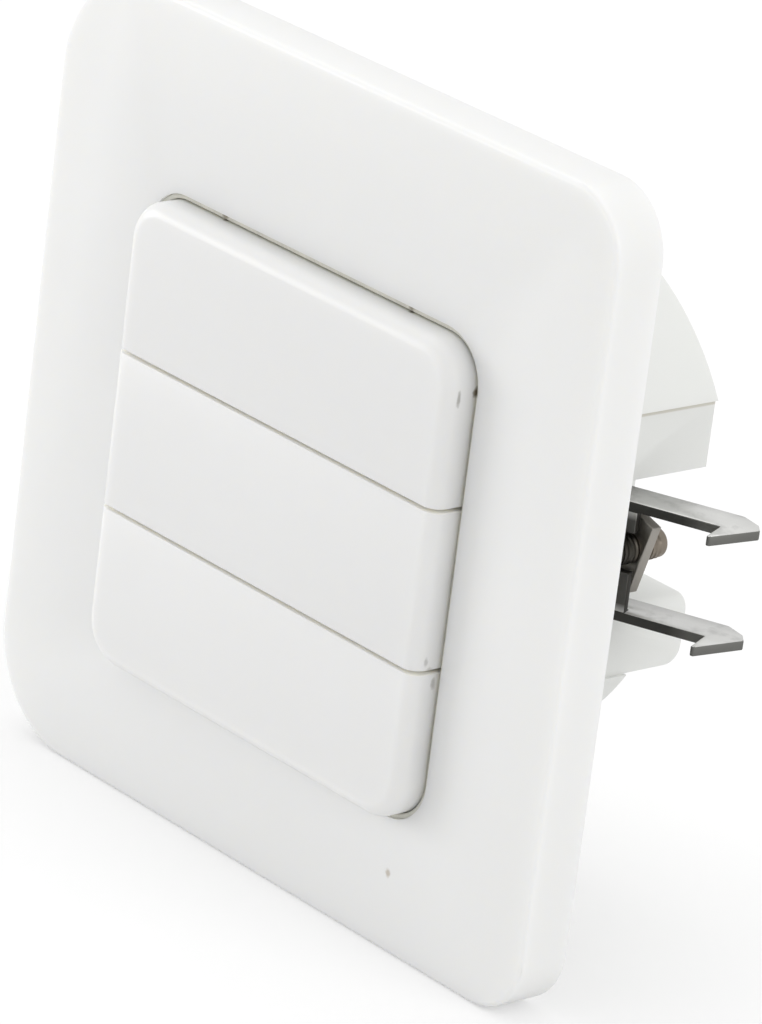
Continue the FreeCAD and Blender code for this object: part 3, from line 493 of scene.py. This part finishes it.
key_plastic = Finish("key_plastic", (0.822, 0.822, 0.815), 0.33, shade=0.025, scatter=1.0)
# Dust and painted light on the keys' outer walls and in the slits.
key_plastic.dust_and_light_in_gap(*KEY_WALL, slits=True)
for place, radius, colour, share in (
        ((-13.54, -5.0, 23.7), 0.42, DIRT, 1.0),
        ((13.78, -5.1, 23.7), 0.38, DIRT, 1.0),
        ((23.7, -5.1, 19.3), (0.4, 0.45, 0.6), DIRT, 1.0),
        ((23.7, -7.15, 18.95), (0.4, 0.22, 0.95), RUBBED, 0.8),
        ((23.7, -6.5, -7.75), (0.4, 0.5, 0.35), RUBBED, 0.6),
        ((23.7, -7.0, -6.9), (0.4, 0.25, 0.5), RUBBED, 0.5),
        ((23.7, -5.8, -9.2), (0.4, 0.3, 0.7), RUBBED, 0.6)):
    key_plastic.speck(place, radius, colour, share)

# Greener than the frame, and darker: the darkness is partly painted shade from the frame.
insert_plastic = Finish("insert_plastic", (0.785, 0.793, 0.77), 0.42, shade=0.03, scatter=0.2)
guide_plastic = Finish("guide_plastic", (0.72, 0.73, 0.70), 0.45)
# The whole carrier behind the front takes the gap colour: painted light deep in the gap.
guide_plastic.dust_and_light_in_gap(*WHOLE_CARRIER)
dust_strip = Finish("dust_strip", (0.68, 0.67, 0.595), 0.85, shade=0.5, patch=500.0,
                    scatter=0.3, grain_depth=0.8)
for place in ((-13.54, -5.3, 24.1), (13.78, -5.3, 24.1), (24.1, -5.3, 19.3)):
    dust_strip.speck(place, 0.5, DIRT, share=0.8)
print("plastics: 4, and dust")

# %% [markdown]
# A thin beige line runs along the insert, at its parting line, just under the crease where
# the round top meets the flat side. It is painted shade, which stands for the shadow of the
# small ledge where the round top overhangs the flat. A band of colour at one height is
# enough for it.

# %% Painted shade along the parting line of the insert
PARTING_LEVEL = 13.1 * MM
PARTING_HALF = 0.24 * MM
PARTING_CORE = 0.4
LEDGE_SHADE_COLOUR = (0.50, 0.46, 0.36)


def lay_ledge_shade(target):
    """A thin line of painted shade at the height of the parting line."""
    tree = target.tree
    height = node(tree, "ShaderNodeSeparateXYZ", {0: object_place(tree)}).outputs["Z"]
    off = maths(tree, "ABSOLUTE", maths(tree, "SUBTRACT", height, PARTING_LEVEL))
    away = ramp(tree, off, PARTING_HALF * PARTING_CORE, PARTING_HALF)
    # Painted shade under the ledge, tinted beige.
    target.lay(maths(tree, "SUBTRACT", 1.0, away), LEDGE_SHADE_COLOUR, share=0.6)


lay_ledge_shade(insert_plastic)
print("parting line at", round(PARTING_LEVEL / MM, 1), "mm")

# %% [markdown]
# The claws are stamped from zinc-plated sheet: the rolled faces are bright with dull
# blotches, and the sheared edges are rough and duller. Their near-black colour is partly
# painted shade, which stands for the dark surroundings that these faces reflect. Each face
# of the mesh knows which it is through an attribute, written when the claw is made, and the
# material reads it as a mask. Edge wear that is found from the shape would miss this,
# because it would mark every edge and not the whole cut face.

# %% Stamped sheet
SHEARED_EDGE = "sheared_edge"
BLOTCHES = {"Scale": 420.0, "Detail": 3.0, "Roughness": 0.6}
BLOTCH_START, BLOTCH_FULL = 0.52, 0.68
BLOTCH_DARKNESS = 0.72
EDGE_EXTRA_ROUGHNESS = 0.25


def stamped_sheet(name, colour, edge_colour, roughness):
    """Sheet metal with darker sheared edges and a few blotches."""
    made = Finish(name, colour, roughness, metallic=1.0, shade=0.35, patch=160.0, spread=0.25,
                  grain_size=9000.0, grain_depth=0.5)
    tree = made.tree
    noise = node(tree, "ShaderNodeTexNoise", {"Vector": object_place(tree), **BLOTCHES})
    blotches = ramp(tree, noise.outputs["Fac"], BLOTCH_START, BLOTCH_FULL)
    made.lay(blotches, [c * BLOTCH_DARKNESS for c in colour], share=0.7)
    made.edge = node(tree, "ShaderNodeAttribute", attribute_name=SHEARED_EDGE).outputs["Fac"]
    made.lay(made.edge, edge_colour)
    rough = maths(tree, "MULTIPLY_ADD", made.edge, EDGE_EXTRA_ROUGHNESS, made.surface["Roughness"])
    tree.links.new(rough, made.shader.inputs["Roughness"])
    return made


# Duller sheared edges, made near-black: partly painted shade for the dark surroundings they
# reflect.
SHEARED_DULL_AND_SHADED = (0.07, 0.07, 0.065)
zinc_steel = stamped_sheet("zinc_steel", (0.62, 0.62, 0.605), SHEARED_DULL_AND_SHADED, 0.36)
claw_steel = stamped_sheet("claw_steel", (0.60, 0.60, 0.585), SHEARED_DULL_AND_SHADED, 0.36)
strip_steel = stamped_sheet("strip_steel", (0.48, 0.46, 0.42), (0.40, 0.38, 0.35), 0.42)
print("sheets: 3")

# %% [markdown]
# The roots of the claws and the screws in front of the nut sit in deep shade between the
# frame and the housing, and they are painted nearly black: painted shade. The cut ends of
# the hooks are worn lighter. How far out a point lies along one axis tells which of them it is.

# %% Painted shade and worn ends
# Nearly black: painted shade where the claws and screws lie in shadow.
PAINTED_SHADE = (0.045, 0.043, 0.038)
WORN_CUT = (0.17, 0.17, 0.16)
ARM_THICKNESS = 1.02 * MM  # a hair more than the sheet
ARM_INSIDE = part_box("claw_right")[1].z - ARM_THICKNESS
NUT_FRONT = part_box("claw_nut_right")[0].y


def outward(target, axis, start, end):
    """0 near the middle of the switch and 1 farther out along one axis."""
    tree = target.tree
    along = node(tree, "ShaderNodeSeparateXYZ", {0: object_place(tree)}).outputs[axis]
    return ramp(tree, maths(tree, "ABSOLUTE", along), start, end)


def lay_painted_shade(target, axis, start, end, share=0.9):
    """Painted shade, full below the start along one axis and gone at the end."""
    shade_mask = maths(target.tree, "SUBTRACT", 1.0, outward(target, axis, start, end))
    target.lay(shade_mask, PAINTED_SHADE, share)


hook_ends = maths(claw_steel.tree, "MULTIPLY", claw_steel.edge,
                  outward(claw_steel, "X", 29.5 * MM, 31.5 * MM))
claw_steel.lay(hook_ends, WORN_CUT)
# Faint painted shade towards the roots of the claws.
lay_painted_shade(claw_steel, "X", 23.0 * MM, 28.5 * MM, share=0.25)
# Painted shade, nearly black, on the webs between the arms.
lay_painted_shade(claw_steel, "Z", ARM_INSIDE - 0.8 * MM, ARM_INSIDE)

screw_metal = Finish("screw_metal", (0.225, 0.195, 0.16), 0.42, shade=0.5, patch=500.0,
                     spread=0.2, metallic=1.0)
# Painted shade on the screws in front of the nut.
lay_painted_shade(screw_metal, "Y", NUT_FRONT - 0.4 * MM, NUT_FRONT + 0.4 * MM)
contact_metal = Finish("contact_metal", (0.60, 0.60, 0.57), 0.28, shade=0.15, metallic=1.0)
# Where the painted shade on the screws ends.
print("painted_shade on the screws ends", round(NUT_FRONT / MM, 1), "mm behind the wall")

# %% [markdown]
# What lies inside the closed housing is out of sight, but it is finished all the same:
# green laminate, black resin, the printed jacket of the cell and the rubber sleeves.
# The record names a material for each solid. A few solids that share one there look
# different on the real switch, so these have a finish of their own.

# %% Inner finishes
inner = {
    "sleeve_rubber": Finish("sleeve_rubber", (0.55, 0.53, 0.47), 0.55, scatter=0.2),
    "board_laminate": Finish("board_laminate", (0.03, 0.14, 0.05), 0.30, shade=0.3, coat=0.3),
    "part_resin": Finish("part_resin", (0.02, 0.02, 0.023), 0.45, shade=0.3, grain_depth=0.4),
    "cell_jacket": Finish("cell_jacket", (0.05, 0.12, 0.24), 0.30, shade=0.05, coat=0.4),
}
FINISHES = {
    "shell_plastic": frame_plastic, "insert_plastic": insert_plastic,
    "guide_plastic": guide_plastic, "zinc_steel": zinc_steel, "screw_metal": screw_metal,
    "contact_metal": contact_metal, **inner,
}
KEYS = ("key_top", "key_middle", "key_bottom")
FINISH_OF_NODE = {
    **{name: key_plastic for name in KEYS},
    "claw_right": claw_steel, "claw_left": claw_steel,
    "claw_nut_right": strip_steel, "claw_nut_left": strip_steel,
}
print("finishes:", len(set(FINISHES.values()) | set(FINISH_OF_NODE.values())) + 1)

# %% [markdown]
# The outer front edge of the three keys is softly rounded on the real switch, as if one
# cushion ran over all of them, while the slits between them stay sharp. A bevel on each
# key would round the slits too. So a block round all three gets the soft edge, and each
# key keeps only what lies inside the block.

# %% Soft front edge of the keys
KEY_CORNER = 4.4 * MM
KEY_SOFTNESS = 1.6 * MM
PILLOW_ROOM = 0.01 * MM
PILLOW_BACK = 0.02  # in metres, well behind the keys
CORNER_STEPS = 24


def rounded_square(half, corner, steps):
    """Points of a square with round corners, counter-clockwise in x and z."""
    points = []
    across = half - corner
    for quarter in range(4):
        x = across * (1 if quarter in (0, 3) else -1)
        z = across * (1 if quarter < 2 else -1)
        for step in range(steps + 1):
            angle = (quarter + step / steps) * math.pi / 2
            points.append((x + corner * math.cos(angle), z + corner * math.sin(angle)))
    return points


def make_pillow():
    """A block round the three keys, with the soft front edge of the real ones."""
    shape = bmesh.new()
    outline = rounded_square(KEYS_HALF + PILLOW_ROOM, KEY_CORNER + PILLOW_ROOM, CORNER_STEPS)
    front, back = [[shape.verts.new((x, y, z)) for x, z in outline]
                   for y in (KEY_BOX[0].y - PILLOW_ROOM, PILLOW_BACK)]
    shape.faces.new(front)
    shape.faces.new(reversed(back))
    for i in range(len(outline)):
        j = (i + 1) % len(outline)
        shape.faces.new((front[i], back[i], back[j], front[j]))
    rim = [edge for edge in shape.edges if all(vertex in front for vertex in edge.verts)]
    bmesh.ops.recalc_face_normals(shape, faces=shape.faces)
    bmesh.ops.bevel(shape, geom=rim, offset=KEY_SOFTNESS, offset_type="OFFSET", segments=8,
                    profile=0.5, affect="EDGES")
    mesh = bpy.data.meshes.new("pillow")
    shape.to_mesh(mesh)
    shape.free()
    return add("pillow", mesh)


pillow = make_pillow()
print("pillow:", [round(side / MM, 1) for side in pillow.dimensions], "mm")

# %% [markdown]
# Every piece ends in the same way. Its modifiers become plain mesh, because a mesh is what
# the export takes. It is shaded smooth, but for its real edges. Then it is put on a body of
# the frame, which moves it, and a solid that it stands for is hidden.

# %% Ending a piece
SMOOTH_BELOW = 32  # degrees between two faces


def shade(mesh, angle=SMOOTH_BELOW):
    """Smooth shading that stays sharp at real edges."""
    mesh.polygons.foreach_set("use_smooth", [True] * len(mesh.polygons))
    mesh.set_sharp_from_angle(angle=math.radians(angle))


def settle(piece):
    """Turns the modifiers of a piece into plain mesh with smooth shading."""
    depsgraph = bpy.context.evaluated_depsgraph_get()
    solid = bpy.data.meshes.new_from_object(piece.evaluated_get(depsgraph))
    solid.name = piece.name
    piece.modifiers.clear()
    piece.data = solid
    solid.materials.clear()
    shade(solid)


def put_on(piece, body, slot, *nodes):
    """Fixes a piece to a body and hides the solids that it stands for."""
    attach(piece, body)
    if nodes:
        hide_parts(*nodes)


print("bodies that carry pieces:", len(set(BODY_OF.values())))

# %% [markdown]
# A solid from a construction program has knife-sharp edges, which no moulded or stamped
# piece has. A copy of each one is merged, its flat faces are joined again, and every
# sharp edge gets a very small rounding that catches the light. The solid is loose
# triangles, so without the merge the bevel would open every one of them.

# %% Rounding the pieces
EDGE_ROUNDING = {  # in millimetres
    "rear_housing": 0.35, "key_carrier": 0.15, "support_ring": 0.12, "claw_right": 0.14,
    "claw_left": 0.14, "claw_nut_right": 0.10, "claw_nut_left": 0.10,
}
USUAL_ROUNDING = 0.08
SHARP = math.radians(28)
NEARLY_FLAT = math.radians(0.4)
SAME_POINT = 0.002 * MM


def dressed(name):
    """A copy of a solid with rounded edges, which stands for it."""
    mesh = bpy.data.meshes.new(name + "_dressed")
    shape = bmesh.new()
    shape.from_mesh(frame["nodes"][name].data)
    bmesh.ops.remove_doubles(shape, verts=shape.verts, dist=SAME_POINT)
    bmesh.ops.dissolve_limit(shape, angle_limit=NEARLY_FLAT, verts=shape.verts,
                             edges=shape.edges)
    shape.to_mesh(mesh)
    shape.free()
    piece = add(name + "_dressed", mesh)
    if name in KEYS:
        trim = piece.modifiers.new("softness", "BOOLEAN")
        trim.operation = "INTERSECT"
        trim.solver = "EXACT"
        trim.object = pillow
    bevel = piece.modifiers.new("rounding", "BEVEL")
    bevel.width = EDGE_ROUNDING.get(name, USUAL_ROUNDING) * MM
    bevel.segments = 2
    bevel.limit_method = "ANGLE"
    bevel.angle_limit = SHARP
    bevel.use_clamp_overlap = True
    settle(piece)
    used = FINISH_OF_NODE.get(name, FINISHES[SLOT_OF[name]])
    piece.data.materials.append(used.material)
    put_on(piece, BODY_OF[name], SLOT_OF[name], name)
    return piece


pieces = {name: dressed(name) for name in frame["nodes"]}
bpy.data.objects.remove(pillow)
print("dressed:", len(pieces))

# %% [markdown]
# The rubber sleeves behind the plungers are soft. Each one stands on the board and
# shortens when its plunger comes in, by as much as the plunger travels. A rigid copy
# would cut through the plunger. Here each sleeve gets a mesh of its own, and the share of
# its length that it would keep is worked out, but the sleeve is not squashed.

# %% Soft return sleeves
TRAVEL_OF = {joint["name"]: joint["range_m"][1] for joint in BEHAVIOUR["joints"]
             if joint["type"] == "slide"}
SLEEVES = [name for name in frame["nodes"] if name.startswith("return_sleeve_")]
for name in SLEEVES:
    low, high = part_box(name)
    slide = name.replace("return_sleeve", "plunger") + "_slide"
    share = 1 - TRAVEL_OF[slide] / (high.y - low.y)
    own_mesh(pieces[name])
print("sleeves:", len(SLEEVES), "keep", round(share, 3))

# %% [markdown]
# The sheet of a claw lies level in its two arms and stands upright in the web between
# them, turned by the sweep of the claw. A face that looks along the thickness of its
# sheet is a rolled one, and every other face is a sheared edge. The mesh is cut where
# the arms meet the web first, so that no face belongs to both.

# %% Sheared edges of the stamped pieces
CLAW_SWEEP = math.radians(24.2)  # as the claws are spread at rest
ROLLED_COSINE = 0.9
ON_THE_CUT = 1e-7
UPRIGHT = Vector((0.0, 0.0, 1.0))
FORWARD = Vector((0.0, 1.0, 0.0))


def mark_sheared(piece, rolled_direction, cuts=()):
    """Writes the attribute that tells sheared faces from rolled ones, and counts them."""
    mesh = piece.data
    shape = bmesh.new()
    shape.from_mesh(mesh)
    for level in cuts:
        bmesh.ops.bisect_plane(shape, geom=shape.verts[:] + shape.edges[:] + shape.faces[:],
                               dist=ON_THE_CUT, plane_co=(0.0, 0.0, level), plane_no=UPRIGHT)
    shape.to_mesh(mesh)
    shape.free()
    marks = mesh.attributes.new(SHEARED_EDGE, "FLOAT", "FACE")
    values = []
    for face in mesh.polygons:
        lined_up = abs(face.normal.dot(rolled_direction(face.center)))
        values.append(0.0 if lined_up > ROLLED_COSINE else 1.0)
    marks.data.foreach_set("value", values)
    return int(sum(values))


def claw_direction(side):
    """The thickness direction of a claw's sheet: of the arms, and of the web."""
    across_web = Vector((-math.sin(CLAW_SWEEP) * side, math.cos(CLAW_SWEEP), 0.0))
    return lambda centre: UPRIGHT if abs(centre.z) > ARM_INSIDE else across_web


for name, side in (("right", 1), ("left", -1)):
    count = mark_sheared(pieces["claw_" + name], claw_direction(side), (ARM_INSIDE, -ARM_INSIDE))
    mark_sheared(pieces["claw_nut_" + name], lambda centre: FORWARD)
    print(name, "claw:", count, "sheared faces")

# %% [markdown]
# Geometry Nodes make what follows a path. A tree is built once and each piece sets its
# named inputs by their identifiers, because that is how a modifier knows them. What
# comes out is turned into plain mesh at once, and its faces are made to look outwards.

# %% Growing a piece from a tree
GEOMETRY_OUT = [("Geometry", "NodeSocketGeometry")]
GROWN_SMOOTH_BELOW = 60  # degrees, as their profiles have corners


def end_tree(tree, geometry, turn, material):
    """Turns the geometry into place, makes it real, coats it and puts it out."""
    laid = node(tree, "GeometryNodeTransform", {"Geometry": geometry, "Rotation": (turn, 0.0, 0.0)})
    solid = node(tree, "GeometryNodeRealizeInstances", {"Geometry": laid.outputs["Geometry"]})
    coated = node(tree, "GeometryNodeSetMaterial",
                  {"Geometry": solid.outputs["Geometry"], "Material": material})
    return put_out(tree, {"Geometry": coated.outputs["Geometry"]})


def grown(name, tree, node_name, place, **values):
    """The plain mesh that a tree makes, moved to its place on the body of a solid."""
    piece = add(name, bpy.data.meshes.new(name))
    modifier = piece.modifiers.new("grown", "NODES")
    modifier.node_group = tree
    for item in tree.interface.items_tree:
        if item.in_out == "INPUT":
            modifier[item.identifier] = values[item.name.lower()]
    depsgraph = bpy.context.evaluated_depsgraph_get()
    made = bpy.data.meshes.new_from_object(piece.evaluated_get(depsgraph))
    piece.modifiers.clear()
    made.transform(Matrix.Translation(place))
    shape = bmesh.new()
    shape.from_mesh(made)
    bmesh.ops.recalc_face_normals(shape, faces=shape.faces)
    shape.to_mesh(made)
    shape.free()
    made.name = name
    piece.data = made
    shade(made, GROWN_SMOOTH_BELOW)
    put_on(piece, BODY_OF[node_name], SLOT_OF[node_name])
    return piece


print("a tree puts out:", GEOMETRY_OUT[0][0])

# %% [markdown]
# The claw screws carry a thread, which the solid leaves out. It is a ridge wound round
# the shank: a spiral curve with a small three-sided profile drawn along it. One turn of
# the screw moves the nut by one pitch, so the pitch is the real one. The spiral is
# reversed, because the threads are right-handed.

# %% Thread
PITCH = 0.5 * MM
STEPS_PER_TURN = 20
RIDGE = 0.15 * MM
SHANK_RADIUS = 1.45 * MM
RIDGE_SUNK = 0.03 * MM
THREAD_START = 1.0 * MM
BARE_TIP = 0.7 * MM


def make_thread_tree():
    """Geometry Nodes: a ridge round the y axis, from y = 0 to its length."""
    tree, given = new_group(
        "thread", "GeometryNodeTree",
        [("Radius", FLOAT, SHANK_RADIUS), ("Length", FLOAT, 10.0 * MM), ("Pitch", FLOAT, PITCH),
         ("Ridge", FLOAT, RIDGE), ("Metal", MATERIAL, None)], GEOMETRY_OUT)
    turns = maths(tree, "DIVIDE", given["Length"], given["Pitch"])
    spiral = node(tree, "GeometryNodeCurveSpiral",
                  {"Resolution": STEPS_PER_TURN, "Rotations": turns,
                   "Start Radius": given["Radius"], "End Radius": given["Radius"],
                   "Height": given["Length"], "Reverse": True})
    profile = node(tree, "GeometryNodeCurvePrimitiveCircle",
                   {"Resolution": 3, "Radius": given["Ridge"]}, mode="RADIUS")
    wound = node(tree, "GeometryNodeCurveToMesh",
                 {"Curve": spiral.outputs["Curve"], "Profile Curve": profile.outputs["Curve"],
                  "Fill Caps": True})
    return end_tree(tree, wound.outputs["Mesh"], -math.pi / 2, given["Metal"])


THREAD = make_thread_tree()
for name in ("claw_screw_right", "claw_screw_left"):
    low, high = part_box(name)
    middle = (low + high) / 2
    grown(name.replace("screw", "screw_thread"), THREAD, name, (middle.x, THREAD_START, middle.z),
          radius=SHANK_RADIUS - RIDGE_SUNK, length=high.y - THREAD_START - BARE_TIP,
          pitch=PITCH, ridge=RIDGE, metal=screw_metal.material)
print("threads: 2, of", round(PITCH / MM, 2), "mm a turn")

# %% [markdown]
# Dust has settled in the gap round the keys, against the edge of the frame's opening. It
# is a thin strip that follows the opening, so Geometry Nodes draw its path, a square
# with round corners, and lay a small rounded profile along it. It leaves the keys their
# room to rock.

# %% Dust in the gap
STRIP_WIDTH = 0.56 * MM
STRIP_DEPTH = 0.60 * MM
STRIP_BELOW = 0.30 * MM
STRIP_IN_WALL = 0.03 * MM
STRIP_ROUNDING = 0.3
PATH_STEPS, PROFILE_STEPS = 16, 3
STRIP_FRONT = FRAME_FRONT + STRIP_BELOW


def make_strip_tree():
    """Geometry Nodes: a strip round a square with round corners, in x and z."""
    tree, given = new_group(
        "strip_round_opening", "GeometryNodeTree",
        [("Half", FLOAT, 24.0 * MM), ("Corner", FLOAT, 5.0 * MM), ("Width", FLOAT, 0.4 * MM),
         ("Depth", FLOAT, 0.5 * MM), ("Matter", MATERIAL, None)], GEOMETRY_OUT)

    def rounded_frame(width, height, corner, count):
        block = node(tree, "GeometryNodeCurvePrimitiveQuadrilateral",
                     {"Width": width, "Height": height})
        return node(tree, "GeometryNodeFilletCurve",
                    {"Curve": block.outputs["Curve"], "Radius": corner, "Count": count},
                    mode="POLY").outputs["Curve"]

    side = maths(tree, "MULTIPLY", given["Half"], 2.0)
    rounding = maths(tree, "MULTIPLY", given["Width"], STRIP_ROUNDING)
    drawn = node(tree, "GeometryNodeCurveToMesh",
                 {"Curve": rounded_frame(side, side, given["Corner"], PATH_STEPS),
                  "Profile Curve": rounded_frame(given["Width"], given["Depth"], rounding,
                                                 PROFILE_STEPS)})
    return end_tree(tree, drawn.outputs["Mesh"], math.pi / 2, given["Matter"])


strip = grown("gap_dust_strip", make_strip_tree(), "cover_frame",
              (0.0, STRIP_FRONT + STRIP_DEPTH / 2, 0.0),
              half=KEYS_HALF + GAP_WIDTH + STRIP_IN_WALL - STRIP_WIDTH / 2,
              corner=KEY_CORNER + GAP_WIDTH - STRIP_WIDTH / 2, width=STRIP_WIDTH,
              depth=STRIP_DEPTH, matter=dust_strip.material)
print("strip:", [round(side / MM, 2) for side in strip.dimensions], "mm")
